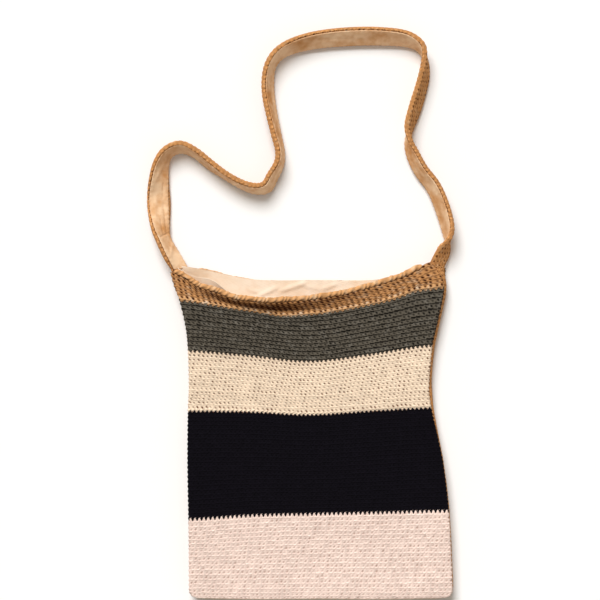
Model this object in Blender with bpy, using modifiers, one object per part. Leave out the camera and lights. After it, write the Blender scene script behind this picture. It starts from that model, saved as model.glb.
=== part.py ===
"""Crocheted shoulder bag with a lined strap, empty and lying flat on its back.

+X runs to the right of the bag, +Y from its bottom to the strap and +Z up from the surface.
The origin is on the surface, under the middle of the bag with its strap laid out above it.
"""

import math

import bmesh
import bpy
from mathutils import Vector

MM = 0.001

# Thickness of the cloths, and the gaps that part one piece from the next, in millimetres
CROCHET = 3.6
LINING = 1.0
GAP = 0.35
SEAM_GAP = 0.7
LINING_GAP = 0.9
POUCH_GAP = 1.8
FLOOR_GAP = 0.4

# Sizes of the strap, the rims and the panels, in millimetres
STRAP_WIDTH = 24.5
STRAP_LINING_WIDTH = 20.0
RIM_RADIUS = 2.4
BACK_RIM_RADIUS = 1.9
KNOT_RADIUS = 3.5
PANEL_WIDTH = 260.0
ROW_HEIGHT = 4.6
CORNER_RADIUS = 13.0

# Height of the front's cloth at its sides and in its middle, and how the sag runs out, in millimetres
SIDE_HEIGHT = 18.6
MIDDLE_HEIGHT = 15.9
MOUTH_LIFT = 0.8
SAG_REACH = 30.0

# How far the gusset stands in from the panels' edges and bows outward, more at the upper right,
# in millimetres. A bowed sheet leaves its edges EDGE_SLOPE times as steeply as its bow.
GUSSET_INSET = 1.8
GUSSET_BOW = 1.2
RIGHT_BOW = 1.8
RIGHT_BOW_END = -115.0
RIGHT_BOW_BLEND = 8.0
EDGE_SLOPE = 3.0

# How far the pouch stands in from the panels, left and right, and how its sides turn up, in millimetres
LINING_INSET = 5.6
BOTTOM_CORNER_INSET = 3.6
FRONT_CORNER_INSETS = (10.0, 2.0)
BACK_CORNER_INSETS = (1.5, 11.0)
WALL_BOW = 1.1
WALL_MIDDLE_BOW = 1.54
WALL_TURN = 2.2

# Counted in stitch rows from the mouth, or in the rows that a rise or an inset takes to run out
LAST_ROW = 68.0
MOUTH_LIFT_ROWS = 5.0
BACK_LINING_RISE = 1.3
BACK_LINING_RISE_ROWS = 2.0
CORNER_INSET_ROWS = 4.0
BOTTOM_INSET_ROWS = 3.0
SIDE_ROWS = (3, 5, 7, 9.5, 12, 16, 20, 24, 29, 34, 39, 44, 49, 54, 59, 63)
CORNER_ROWS = (65.2, 66.2, 67.1, 67.7, LAST_ROW)
GUSSET_START_ROWS = (-0.8, 0.4, 1.6)
FRONT_ROWS = (0, 1, 2, 3.5, 5, 7, 9, 12, 16, 20, 24, 29, 34, 39, 44, 49, 54, 59, 63) + CORNER_ROWS
BACK_ROWS = (0, 2, 4, 6, 9, 12, 16, 24, 29, 39, 49, 59) + CORNER_ROWS
LINING_ROWS = (0.4,) + FRONT_ROWS[1:-5] + (65.2, 66.4)

# Steps that the meshes take across or along each piece
PANEL_COLUMNS = 16
BACK_COLUMNS = 14
BOTTOM_STEPS = 12
STRAP_COLUMNS = 4
STRAP_LINING_COLUMNS = 3
STRAP_STEPS = 3
WALL_POINTS = 3
RIM_STITCHES = 46
BACK_RIM_STEPS = 40
KNOT_BEADS = 4

# Middle of the whole lying bag, strap and all, in the places of the tables below
PLAN_MIDDLE = Vector((0.0, -1.15, 0.0))

# Lines across the front where a band of colour ends or the side bends. A row is one of the
# bag's rows of stitches in the tan and about that deep, 4.6 mm, in the other colours.
# Columns: row from the mouth, left x, right x, then y at five even places across.
FRONT_LINES = (
    (0.0, -136.0, 136.5, 42.0, 14.0, 12.0, 24.0, 48.5),
    (3.0, -132.0, 147.0, 27.0, 7.5, 4.5, 17.0, 38.0),
    (6.0, -126.5, 151.0, 12.5, 2.0, -2.0, 9.5, 26.0),
    (11.0, -120.0, 145.5, -15.5, -22.0, -27.0, -17.0, -5.0),
    (16.0, -117.5, 139.0, -40.0, -45.0, -51.0, -43.5, -34.0),
    (24.0, -116.5, 135.5, -78.5, -81.5, -85.5, -79.5, -73.5),
    (29.0, -117.5, 137.5, -103.0, -104.0, -107.0, -103.0, -99.5),
    (39.0, -118.0, 149.0, -158.0, -157.5, -158.5, -155.5, -152.0),
    (49.0, -117.0, 156.0, -216.0, -212.0, -210.5, -209.0, -207.0),
    (58.0, -116.5, 158.5, -257.0, -255.5, -254.0, -253.5, -252.5),
    (LAST_ROW, -116.5, 160.5, -300.0, -301.0, -300.5, -301.0, -300.0),
)

# The back differs from the front only near the mouth, where its edge lies higher.
BACK_MOUTH_LINES = (
    (0.0, -119.0, 153.5, 44.5, 30.5, 29.0, 30.5, 46.5),
    (3.0, -120.5, 153.0, 27.5, 18.0, 15.5, 19.0, 33.5),
    (6.0, -122.0, 151.5, 9.0, 4.0, 1.0, 7.5, 19.5),
)

# Soft folds of the front, each one an oval dent or swell in the cloth. The first is the lip that
# the slack mouth throws up left of its middle.
# Columns: place across from 0 to 1, row, reach across, reach in rows, height in mm.
FRONT_FOLDS = (
    (0.38, 0.5, 0.22, 3.2, 6.5),
    (0.30, 2.0, 0.10, 3.0, -0.7),
    (0.52, 4.0, 0.08, 3.5, 0.8),
    (0.78, 3.0, 0.07, 4.0, -0.6),
    (0.88, 12.0, 0.06, 6.0, 0.7),
    (0.42, 20.0, 0.12, 6.0, -0.5),
    (0.70, 27.0, 0.10, 5.0, 0.6),
    (0.22, 36.0, 0.09, 8.0, 0.5),
    (0.60, 44.0, 0.12, 7.0, -0.5),
    (0.35, 58.0, 0.10, 6.0, 0.6),
)

# Middle line of the strap from the left corner of the mouth round to the right one.
# Columns: x, y, height of the lower edge, turn about the strap's length, outward bow.
# At a turn of 0 degrees the lining faces up, at 90 it faces the inside of the loop.
STRAP_ROUTE = (
    (-134.5, 58.5, 1.6, 52.0, 0.6),
    (-143.3, 75.5, 0.8, 58.0, 0.8),
    (-147.0, 90.0, 0.5, 40.0, 0.6),
    (-148.5, 107.0, 0.5, 12.0, 0.3),
    (-149.0, 122.0, 0.5, 8.0, 0.3),
    (-148.6, 136.5, 0.5, 44.0, 0.8),
    (-146.2, 154.0, 0.5, 58.0, 1.2),
    (-139.8, 167.0, 0.5, 63.0, 1.5),
    (-126.0, 173.2, 0.5, 68.0, 1.5),
    (-110.3, 167.4, 0.5, 76.0, 1.0),
    (-94.5, 155.0, 0.5, 77.0, 0.8),
    (-77.7, 143.3, 0.5, 82.0, 0.8),
    (-59.9, 133.4, 0.5, 80.0, 1.0),
    (-45.5, 129.3, 0.5, 74.0, 1.2),
    (-35.0, 131.5, 0.5, 68.0, 1.2),
    (-29.4, 141.5, 0.5, 69.0, 1.0),
    (-22.2, 155.5, 0.5, 76.0, 0.8),
    (-21.0, 168.5, 0.5, 78.0, 0.8),
    (-24.7, 185.0, 0.5, 75.0, 0.8),
    (-29.4, 206.0, 0.5, 71.0, 1.0),
    (-33.1, 227.0, 0.5, 67.0, 1.2),
    (-33.6, 245.7, 0.5, 68.0, 1.2),
    (-29.9, 261.5, 0.5, 71.0, 1.5),
    (-20.0, 273.0, 0.5, 66.0, 1.5),
    (-3.2, 281.0, 0.5, 58.0, 1.2),
    (21.0, 286.5, 0.5, 50.0, 1.0),
    (52.5, 289.5, 0.5, 46.0, 0.8),
    (84.0, 289.8, 0.5, 48.0, 0.8),
    (111.5, 287.0, 0.5, 58.0, 1.2),
    (126.5, 278.5, 0.5, 76.0, 1.6),
    (131.0, 265.0, 0.6, 98.0, 1.6),
    (130.2, 248.0, 0.8, 112.0, 1.2),
    (126.0, 231.0, 0.9, 116.0, 1.0),
    (120.2, 212.0, 0.9, 117.0, 1.0),
    (114.5, 194.5, 0.7, 107.0, 2.0),
    (113.4, 179.5, 0.5, 84.0, 3.0),
    (118.1, 166.0, 0.5, 67.0, 2.0),
    (127.0, 149.0, 0.5, 62.0, 1.2),
    (139.6, 132.5, 0.5, 60.0, 1.0),
    (147.8, 114.5, 0.5, 59.0, 1.0),
    (153.6, 96.0, 0.5, 62.0, 1.2),
    (155.4, 83.5, 0.8, 72.0, 2.2),
    (154.2, 73.5, 1.4, 96.0, 2.4),
    (151.0, 64.5, 1.8, 123.0, 1.4),
)

# Colours of the tan yarn, of the panels' middle yarn and of the lining cloth, all of them matt
TAN = (0.56, 0.31, 0.13)
CREAM = (0.82, 0.66, 0.48)
COTTON = (0.90, 0.75, 0.56)
MATT = 0.9


def smooth(table, position):
    """Read a table of number rows at a fractional row, on a curve through all its rows."""
    last = len(table) - 1
    index = min(max(int(position), 0), last - 1)
    t = position - index
    before = table[max(index - 1, 0)]
    here = table[index]
    there = table[index + 1]
    after = table[min(index + 2, last)]
    return [
        0.5 * (2 * b + (c - a) * t + (2 * a - 5 * b + 4 * c - d) * t * t + (3 * b - a - 3 * c + d) * t ** 3)
        for a, b, c, d in zip(before, here, there, after)
    ]


def line_at_row(lines, row):
    """Left x, right x and the five y values of the line that a stitch row follows."""
    rows = [line[0] for line in lines]
    index = 0
    while index < len(rows) - 2 and row > rows[index + 1]:
        index += 1
    share = (row - rows[index]) / (rows[index + 1] - rows[index])
    return smooth(lines, index + share)[1:]


def panel_plan(lines, across, row):
    """Place in plan of a point of a panel, across it from 0 to 1 and down it by stitch rows."""
    left, right, *heights = line_at_row(lines, row)
    y = smooth([(h,) for h in heights], across * 4)[0]
    depth = (LAST_ROW - row) * ROW_HEIGHT
    if depth < CORNER_RADIUS:
        inset = CORNER_RADIUS - math.sqrt(CORNER_RADIUS ** 2 - (CORNER_RADIUS - depth) ** 2)
        left += inset
        right -= inset
    return left + (right - left) * across, y


def front_height(across, row):
    """Height of the middle of the front's cloth: it sags between the sides and the bottom."""
    to_side = min(across, 1 - across) * PANEL_WIDTH
    to_bottom = (LAST_ROW - row) * ROW_HEIGHT
    near = math.exp(-((to_side / SAG_REACH) ** 2)) + math.exp(-((to_bottom / SAG_REACH) ** 2))
    mouth = MOUTH_LIFT * math.exp(-((row / MOUTH_LIFT_ROWS) ** 2))
    height = MIDDLE_HEIGHT + mouth + (SIDE_HEIGHT - MIDDLE_HEIGHT - mouth) * min(near, 1.0)
    for centre, fold_row, reach, reach_rows, rise in FRONT_FOLDS:
        distance = ((across - centre) / reach) ** 2 + ((row - fold_row) / reach_rows) ** 2
        height += rise * math.exp(-distance) * (1 - min(near, 1.0))
    return height


def front_point(across, row):
    x, y = panel_plan(FRONT_LINES, across, row)
    return Vector((x, y, front_height(across, row)))


def back_point(across, row):
    x, y = panel_plan(BACK_MOUTH_LINES + FRONT_LINES[3:], across, row)
    return Vector((x, y, CROCHET / 2))


def inward(points, index, distance):
    """Move a point of an outline that is followed clockwise to its right, in plan."""
    before = points[max(index - 1, 0)]
    after = points[min(index + 1, len(points) - 1)]
    along = (after - before).normalized()
    return points[index] + Vector((along.y, -along.x, 0)) * distance


def outline(panel_point):
    """The edge of a panel from the right corner of the mouth, round the bottom, to the left."""
    rows = GUSSET_START_ROWS + SIDE_ROWS + CORNER_ROWS
    right = [panel_point(1, row) for row in rows]
    bottom = [panel_point(step / BOTTOM_STEPS, LAST_ROW) for step in range(BOTTOM_STEPS - 1, 0, -1)]
    left = [panel_point(0, row) for row in reversed(rows)]
    return right + bottom + left


def gusset_rows():
    """Front edge, back edge and bow of the gusset, clockwise from the right corner."""
    front = outline(front_point)
    back = outline(back_point)
    rows = []
    for index in range(len(front)):
        top = inward(front, index, GUSSET_INSET)
        foot = inward(back, index, GUSSET_INSET)
        bow = GUSSET_BOW
        if top.x > 0:
            bow += RIGHT_BOW / (1 + math.exp((RIGHT_BOW_END - top.y) / RIGHT_BOW_BLEND))
        outward = (front[index] - top).normalized()
        lean = (foot - top).dot(Vector((outward.x, outward.y, 0)))
        top.z = front[index].z - CROCHET / 2 - SEAM_GAP
        foot.z = CROCHET + SEAM_GAP
        reach = edge_reach(bow * EDGE_SLOPE + abs(lean), top.z - foot.z)
        top.z -= reach
        foot.z += reach
        rows.append((*top, *foot, bow))
    return rows


def edge_reach(outward, rise):
    """How far half the cloth's thickness reaches past an edge that leans out of upright."""
    return CROCHET / 2 * outward / math.hypot(outward, rise)


def strap_rows():
    """Outer edge, inner edge and bow of the strap, clockwise from the left corner."""
    centres = [Vector((x, y, 0)) for x, y, *_ in STRAP_ROUTE]
    rows = []
    for index, (x, y, foot, turn, bow) in enumerate(STRAP_ROUTE):
        before = centres[max(index - 1, 0)]
        after = centres[min(index + 1, len(centres) - 1)]
        along = (after - before).normalized()
        side = Vector((along.y, -along.x, 0))
        angle = math.radians(turn)
        across = side * math.cos(angle) - Vector((0, 0, 1)) * math.sin(angle)
        height = FLOOR_GAP + foot + STRAP_WIDTH / 2 * math.sin(angle) + CROCHET / 2 * abs(math.cos(angle))
        centre = Vector((x, y, height))
        rows.append((*(centre - across * STRAP_WIDTH / 2), *(centre + across * STRAP_WIDTH / 2), bow))
    return rows


def ribbon(rows, span, columns, trim, lift, closed):
    """Points of a sheet that follows rows of edge pairs, bowed outward between its edges.

    trim draws both edges in and lift raises the sheet off the middle of the band towards its lining.
    """
    fine = [smooth(rows, position) for position in span]
    middles = [(Vector(row[0:3]) + Vector(row[3:6])) / 2 for row in fine]
    sections = []
    for index, row in enumerate(fine):
        outer = Vector(row[0:3])
        inner = Vector(row[3:6])
        if closed:
            along = middles[(index + 1) % len(middles)] - middles[index - 1]
        else:
            along = middles[min(index + 1, len(middles) - 1)] - middles[max(index - 1, 0)]
        across = inner - outer
        facing = across.cross(along).normalized()
        width = across.length
        section = []
        for column in range(columns + 1):
            place = trim / width + column / columns * (1 - 2 * trim / width)
            arch = 4 * place * (1 - place)
            section.append(outer + across * place + facing * (lift - row[6] * arch))
        sections.append(section)
    return sections


def grid_object(name, sections, thickness, colour, wrap=False, ring=False, extra_faces=()):
    """A sheet through rows of points, given its thickness to both sides by Solidify."""
    count = len(sections[0])
    points = [point for section in sections for point in section]
    faces = []
    for row in range(len(sections) if wrap else len(sections) - 1):
        below = (row + 1) % len(sections)
        for column in range(count if ring else count - 1):
            beside = (column + 1) % count
            faces.append((row * count + column, row * count + beside,
                          below * count + beside, below * count + column))
    faces.extend(extra_faces)
    piece = add_piece(name, points, faces, colour)
    solidify = piece.modifiers.new("cloth thickness", "SOLIDIFY")
    solidify.thickness = thickness * MM
    solidify.offset = 0
    solidify.use_even_offset = thickness > LINING
    return piece


def add_piece(name, points, faces, colour):
    """Put a piece in the bag's collection with a matt yarn or cotton finish of its own."""
    mesh = bpy.data.meshes.new(name)
    mesh.from_pydata([(point - PLAN_MIDDLE) * MM for point in points], [], faces)
    surface = bmesh.new()
    surface.from_mesh(mesh)
    bmesh.ops.recalc_face_normals(surface, faces=surface.faces)
    surface.to_mesh(mesh)
    surface.free()
    mesh.shade_smooth()
    piece = bpy.data.objects.new(name, mesh)
    bag.objects.link(piece)
    material = bpy.data.materials.new(name)
    material.use_nodes = True
    finish = material.node_tree.nodes["Principled BSDF"]
    finish.inputs["Base Color"].default_value = (*colour, 1)
    finish.inputs["Roughness"].default_value = MATT
    finish.inputs["Metallic"].default_value = 0
    mesh.materials.append(material)
    return piece


def make_panel(name, panel_point, colour, columns, rows):
    """Front or back: a sheet from the mouth to the bottom, with rounded bottom corners."""
    sections = []
    for row in rows:
        sections.append([panel_point(column / columns, row) for column in range(columns + 1)])
    return grid_object(name, sections, CROCHET, colour)


def make_band():
    """Gusset and strap in one strip that closes on itself round the bag and the shoulder."""
    strap = strap_rows()
    gusset = gusset_rows()
    rows = gusset[-1:] + strap + gusset + strap[:2]
    span = [1 + step / STRAP_STEPS for step in range(len(strap) * STRAP_STEPS)]
    span += [1 + len(strap) + step for step in range(len(gusset) - 1)]
    span += [len(strap) + len(gusset) + step / STRAP_STEPS for step in range(STRAP_STEPS)]
    sections = ribbon(rows, span, STRAP_COLUMNS, trim=0, lift=0, closed=True)
    return grid_object("band", sections, CROCHET, TAN, wrap=True)


def make_strap_lining():
    """Cotton strip on the inner face of the strap, a little narrower than the crochet."""
    trim = (STRAP_WIDTH - STRAP_LINING_WIDTH) / 2
    lift = CROCHET / 2 + LINING_GAP + LINING / 2
    gusset = gusset_rows()
    rows = gusset[-1:] + strap_rows() + gusset[:1]
    into_gusset = [0.4, 0.7]
    span = into_gusset + [1 + step / STRAP_STEPS for step in range((len(rows) - 3) * STRAP_STEPS + 1)]
    sections = ribbon(rows, span, STRAP_LINING_COLUMNS, trim, lift, closed=False)
    return grid_object("strap_lining", sections, LINING, COTTON)


def make_bag_lining():
    """Open pouch inside the bag: each ring of points goes along the back, up, and back again."""
    front_drop = CROCHET / 2 + POUCH_GAP + LINING / 2
    back_level = CROCHET + 2 * GAP + LINING / 2
    rings = []
    for row in LINING_ROWS:
        back_row = row - BACK_LINING_RISE * math.exp(-((row / BACK_LINING_RISE_ROWS) ** 2))
        below = lining_wall(back_point, back_row, *BACK_CORNER_INSETS)
        above = lining_wall(front_point, row, *FRONT_CORNER_INSETS)[::-1]
        for point in above:
            point.z -= front_drop
        for point in below:
            point.z = back_level
        right = round_wall(below[-1], above[0], 1)
        left = round_wall(above[-1], below[0], -1)
        rings.append(below + right + above + left)
    count = len(rings[0])
    start = (len(rings) - 1) * count
    front_end = count - WALL_POINTS - 1
    closing = []
    for column in range(PANEL_COLUMNS):
        opposite = front_end - column
        closing.append((start + column, start + column + 1, start + opposite - 1, start + opposite))
    for corner in (PANEL_COLUMNS, front_end):
        closing.append(tuple(start + (corner + step) % count for step in range(WALL_POINTS + 2)))
    return grid_object("bag_lining", rings, LINING, COTTON, ring=True, extra_faces=closing)


def round_wall(first, last, side):
    """The WALL_POINTS points between the two layers of the pouch, bulging so that its corners stay round."""
    turn = Vector((side * WALL_BOW, 0, WALL_TURN if last.z > first.z else -WALL_TURN))
    middle = (first + last) / 2 + Vector((side * WALL_MIDDLE_BOW, 0, 0))
    return [first + turn, middle, last + Vector((turn.x, 0, -turn.z))]


def lining_wall(panel_point, row, left_corner, right_corner):
    """One row of the pouch along a panel, drawn in from its sides and more at the corners."""
    mouth = math.exp(-((row / CORNER_INSET_ROWS) ** 2))
    bottom = BOTTOM_CORNER_INSET * math.exp(-(((LAST_ROW - row) / BOTTOM_INSET_ROWS) ** 2))
    left = (LINING_INSET + left_corner * mouth + bottom) / PANEL_WIDTH
    right = (LINING_INSET + right_corner * mouth + bottom) / PANEL_WIDTH
    places = [left + (1 - left - right) * column / PANEL_COLUMNS for column in range(PANEL_COLUMNS + 1)]
    return [panel_point(across, row) for across in places]


def make_rim(name, panel_point, radius, first, last, steps, sides, lift, swell, knot):
    """Rope edge along the mouth, from first to last across the panel, with a knot at its right end.

    The rope swells in and out from one step to the next, lies lift above the panel's middle and
    reaches the knot's radius over its last beads.
    """
    nearby = 0.02
    knot_start = steps - KNOT_BEADS - 0.6
    centres = []
    beads = []
    for step in range(steps + 1):
        across = first + (last - first) * step / steps
        bead = radius + swell * (1 if step % 2 else -1)
        if step > steps - KNOT_BEADS:
            bead = radius + (knot - radius) * math.sin(math.pi * (step - knot_start) / (KNOT_BEADS + 1))
        point = panel_point(across, 0)
        along = panel_point(min(across + nearby, 1), 0) - panel_point(across - nearby, 0)
        along.normalize()
        point += Vector((-along.y, along.x, 0)) * (max(bead, radius + swell) + 2 * GAP)
        point.z += lift
        centres.append(point)
        beads.append(bead)
    sections = []
    for index, centre in enumerate(centres):
        along = centres[min(index + 1, steps)] - centres[max(index - 1, 0)]
        side = Vector((-along.y, along.x, 0)).normalized()
        up = along.cross(side).normalized()
        bead = beads[index]
        section = []
        for corner in range(sides):
            angle = math.tau * corner / sides
            section.append(centre + (side * math.cos(angle) + up * math.sin(angle)) * bead)
        sections.append(section)
    points = [point for section in sections for point in section]
    faces = [tuple(range(sides)), tuple(reversed(range(steps * sides, (steps + 1) * sides)))]
    for row in range(steps):
        for corner in range(sides):
            beside = (corner + 1) % sides
            faces.append((row * sides + corner, (row + 1) * sides + corner,
                          (row + 1) * sides + beside, row * sides + beside))
    return add_piece(name, points, faces, TAN)


for old in list(bpy.data.objects):
    bpy.data.objects.remove(old, do_unlink=True)
bag = bpy.data.collections.new("crocheted shoulder bag")
bpy.context.scene.collection.children.link(bag)

make_panel("front_panel", front_point, CREAM, PANEL_COLUMNS, FRONT_ROWS)
make_panel("back_panel", back_point, CREAM, BACK_COLUMNS, BACK_ROWS)
make_band()
make_strap_lining()
make_bag_lining()
make_rim("front_rim", front_point, RIM_RADIUS, first=0.03, last=0.982, steps=RIM_STITCHES * 2,
         sides=8, lift=0.6, swell=0.25, knot=KNOT_RADIUS)
make_rim("back_rim", back_point, BACK_RIM_RADIUS, first=0.04, last=0.96, steps=BACK_RIM_STEPS,
         sides=6, lift=0.15, swell=0.0, knot=BACK_RIM_RADIUS)
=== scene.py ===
import math
from functools import partial

import bpy
import numpy as np
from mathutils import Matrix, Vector


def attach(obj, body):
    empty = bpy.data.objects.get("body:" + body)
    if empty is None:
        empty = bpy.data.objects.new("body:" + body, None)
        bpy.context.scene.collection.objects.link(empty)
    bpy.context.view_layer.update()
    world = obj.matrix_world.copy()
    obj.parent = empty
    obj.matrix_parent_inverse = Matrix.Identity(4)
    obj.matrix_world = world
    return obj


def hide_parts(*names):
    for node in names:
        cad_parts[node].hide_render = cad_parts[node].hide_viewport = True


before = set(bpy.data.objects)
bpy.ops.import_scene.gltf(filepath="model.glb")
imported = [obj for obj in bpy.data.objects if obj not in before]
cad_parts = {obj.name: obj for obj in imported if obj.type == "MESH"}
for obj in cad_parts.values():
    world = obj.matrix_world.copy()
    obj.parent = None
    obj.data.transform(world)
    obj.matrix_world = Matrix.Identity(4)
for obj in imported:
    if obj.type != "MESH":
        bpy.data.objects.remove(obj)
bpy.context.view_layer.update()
bpy.ops.object.select_all(action="DESELECT")


# The bag lies empty on a plain white table top and is seen from straight above.
# The picture takes in 630 mm each way at the height of the cloth, and its middle
# is a little above the middle of the bag with its strap.
PICTURE_SIZE = 0.630
PICTURE_MIDDLE = (0.0, 0.01375)
CLOTH_HEIGHT = 0.014
CAMERA_HEIGHT = 2.4
SENSOR = 36.0
TABLE_SIZE = 6.0

bpy.ops.object.camera_add(location=(*PICTURE_MIDDLE, CAMERA_HEIGHT), rotation=(0, 0, 0))
camera = bpy.context.object
camera.data.sensor_width = SENSOR
camera.data.lens = SENSOR * (CAMERA_HEIGHT - CLOTH_HEIGHT) / PICTURE_SIZE
bpy.context.scene.camera = camera
bpy.context.scene.view_settings.view_transform = "Standard"

bpy.ops.mesh.primitive_plane_add(size=TABLE_SIZE, location=(0, 0, 0))
floor = bpy.context.object
floor.name = "table_top"
top_coat = bpy.data.materials.new("table_top_paint")
top_coat.use_nodes = True
top_coat.node_tree.nodes["Principled BSDF"].inputs["Base Color"].default_value = (0.96, 0.96, 0.96, 1)
top_coat.node_tree.nodes["Principled BSDF"].inputs["Roughness"].default_value = 0.7
floor.data.materials.append(top_coat)

# A wide soft light from above the picture's top, a little to the left, gives the form. It is far
# enough off to be even over the whole table. A weaker one from the lower right and the room's white
# walls fill the shade.
# Columns: name, place that it shines from, width in degrees, strength, colour.
LAMPS = (
    ("soft_box", (-0.45, 1.25, 1.60), 30.0, 3.1, (0.97, 0.99, 1.0)),
    ("room_fill", (1.1, -0.9, 1.9), 60.0, 0.12, (1.0, 0.94, 0.86)),
)
for name, place, width, strength, colour in LAMPS:
    bpy.ops.object.light_add(type="SUN", location=place)
    lamp = bpy.context.object
    lamp.name = name
    lamp.data.angle = math.radians(width)
    lamp.data.energy = strength
    lamp.data.color = colour
    lamp.rotation_euler = (-Vector(place)).to_track_quat("-Z", "Y").to_euler()
room = bpy.data.worlds.new("white_room")
room.use_nodes = True
room.node_tree.nodes["Background"].inputs["Color"].default_value = (1.0, 0.90, 0.78, 1)
room.node_tree.nodes["Background"].inputs["Strength"].default_value = 0.34
bpy.context.scene.world = room


# Front of the bag: one sheet of close single crochet in thick cotton yarn, worked in five colours.
# It is crocheted to the side strip along its sides and bottom, and its mouth hangs slack, so that
# the tan rows throw up a low lip left of the middle.

# All shapes are written in millimetres, with the middle of the plan at PLAN_MIDDLE. lie_in_mesh
# turns them into metres from the shared origin.
MM = 0.001
PLAN_MIDDLE = np.array((0.0, -1.15, 0.0))

# Thickness of the crochet, the panel's last row and its size, the height of the cloth's middle at
# the sides and away from them, the lift at the mouth, and how far these run out.
CROCHET = 3.6
LAST_ROW = 68.0
ROW_HEIGHT = 4.6
PANEL_WIDTH = 260.0
CORNER_RADIUS = 13.0
SIDE_HEIGHT = 18.6
MIDDLE_HEIGHT = 15.9
MOUTH_LIFT = 0.8
MOUTH_LIFT_ROWS = 5.0
SAG_REACH = 30.0

# Columns: row from the mouth, left x, right x, then y at five even places across, in mm.
FRONT_LINES = np.array((
    (0.0, -136.0, 136.5, 42.0, 14.0, 12.0, 24.0, 48.5),
    (3.0, -132.0, 147.0, 27.0, 7.5, 4.5, 17.0, 38.0),
    (6.0, -126.5, 151.0, 12.5, 2.0, -2.0, 9.5, 26.0),
    (11.0, -120.0, 145.5, -15.5, -22.0, -27.0, -17.0, -5.0),
    (16.0, -117.5, 139.0, -40.0, -45.0, -51.0, -43.5, -34.0),
    (24.0, -116.5, 135.5, -78.5, -81.5, -85.5, -79.5, -73.5),
    (29.0, -117.5, 137.5, -103.0, -104.0, -107.0, -103.0, -99.5),
    (39.0, -118.0, 149.0, -158.0, -157.5, -158.5, -155.5, -152.0),
    (49.0, -117.0, 156.0, -216.0, -212.0, -210.5, -209.0, -207.0),
    (58.0, -116.5, 158.5, -257.0, -255.5, -254.0, -253.5, -252.5),
    (LAST_ROW, -116.5, 160.5, -300.0, -301.0, -300.5, -301.0, -300.0),
))

# Columns: place across from 0 to 1, row, reach across, reach in rows, height in mm.
FRONT_FOLDS = (
    (0.38, 0.2, 0.24, 2.6, 7.5),
    (0.34, 0.0, 0.22, 1.4, 4.0),
    (0.33, 3.2, 0.20, 1.4, -2.6),
    (0.72, 0.4, 0.14, 1.6, 2.2),
    (0.30, 2.0, 0.10, 3.0, -0.7),
    (0.52, 4.0, 0.08, 3.5, 0.8),
    (0.78, 3.0, 0.07, 4.0, -0.6),
    (0.88, 12.0, 0.06, 6.0, 0.7),
    (0.42, 20.0, 0.12, 6.0, -0.5),
    (0.70, 27.0, 0.10, 5.0, 0.6),
    (0.22, 36.0, 0.09, 8.0, 0.5),
    (0.60, 44.0, 0.12, 7.0, -0.5),
    (0.35, 58.0, 0.10, 6.0, 0.6),
)

# Columns: place across from 0 to 1, row, reach across, reach in rows, shift up the table in mm.
FRONT_SHIFTS = (
    (0.10, 0.0, 0.05, 2.5, -4.0),
    (0.90, 0.0, 0.05, 2.5, -3.0),
    (0.38, 6.0, 0.08, 2.5, -2.3),
    (0.89, 6.0, 0.05, 2.5, 2.0),
)

# Columns: first and last row of the stripe, stitch rows in it, stitches across it, pit depth in mm.
STRIPES = (
    (0.0, 6.0, 6, 48, 1.15),
    (6.0, 16.0, 11, 51, 1.0),
    (16.0, 29.0, 15, 56, 0.55),
    (29.0, 49.0, 24, 58, 0.8),
    (49.0, LAST_ROW, 19, 59, 0.45),
)

# Shift of the stitches from one row to the next, height and reach of the waves along the sides,
# rise of the right corner with its reach across and in rows, and mean relief of the stitches.
STITCH_SLANT = 0.17
SCALLOP = 0.4
SCALLOP_REACH = 2.5
CORNER_RISE = 4.0
CORNER_REACH = 0.045
CORNER_ROWS = 2.5
MEAN_RELIEF = 0.8


def curve_through(table, position):
    """Rows of a table of numbers at fractional places, on a smooth curve through all its rows."""
    table = np.asarray(table, float)
    last = len(table) - 1
    index = np.clip(position.astype(int), 0, last - 1)
    t = (position - index)[:, None]
    a, b = table[np.maximum(index - 1, 0)], table[index]
    c, d = table[index + 1], table[np.minimum(index + 2, last)]
    bend = (2 * a - 5 * b + 4 * c - d) * t ** 2 + (3 * b - a - 3 * c + d) * t ** 3
    return 0.5 * (2 * b + (c - a) * t + bend)


def panel_plan(lines, across, row):
    """Places in plan: a row of x and of y for each row of the panel, with its lower corners round."""
    place = np.interp(row, lines[:, 0], np.arange(len(lines)))
    place += np.minimum(row - lines[0, 0], 0) / (lines[1, 0] - lines[0, 0])
    line = curve_through(lines, place)
    depth = (LAST_ROW - row) * ROW_HEIGHT
    inset = CORNER_RADIUS - np.sqrt(CORNER_RADIUS ** 2 - np.clip(CORNER_RADIUS - depth, 0, None) ** 2)
    left = line[:, 1] + inset
    right = line[:, 2] - inset
    x = left[:, None] + (right - left)[:, None] * across
    y = line[:, 3:] @ curve_through(np.eye(5), across * 4).T
    return x, y


def hill(*distances):
    """A soft hill: 1 where every distance is 0, and all but 0 from a distance of 2 on."""
    return np.exp(-sum(distance ** 2 for distance in distances))


def front_height(across, row):
    """Height of the middle of the front's cloth: it sags between the sides and the bottom."""
    row = row[:, None]
    to_side = np.minimum(across, 1 - across) * PANEL_WIDTH
    to_bottom = (LAST_ROW - row) * ROW_HEIGHT
    near = np.minimum(hill(to_side / SAG_REACH) + hill(to_bottom / SAG_REACH), 1)
    mouth = MOUTH_LIFT * hill(row / MOUTH_LIFT_ROWS)
    height = MIDDLE_HEIGHT + mouth + (SIDE_HEIGHT - MIDDLE_HEIGHT - mouth) * near
    for centre, fold_row, reach, reach_rows, rise in FRONT_FOLDS:
        height += rise * hill((across - centre) / reach, (row - fold_row) / reach_rows) * (1 - near)
    return height


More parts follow.
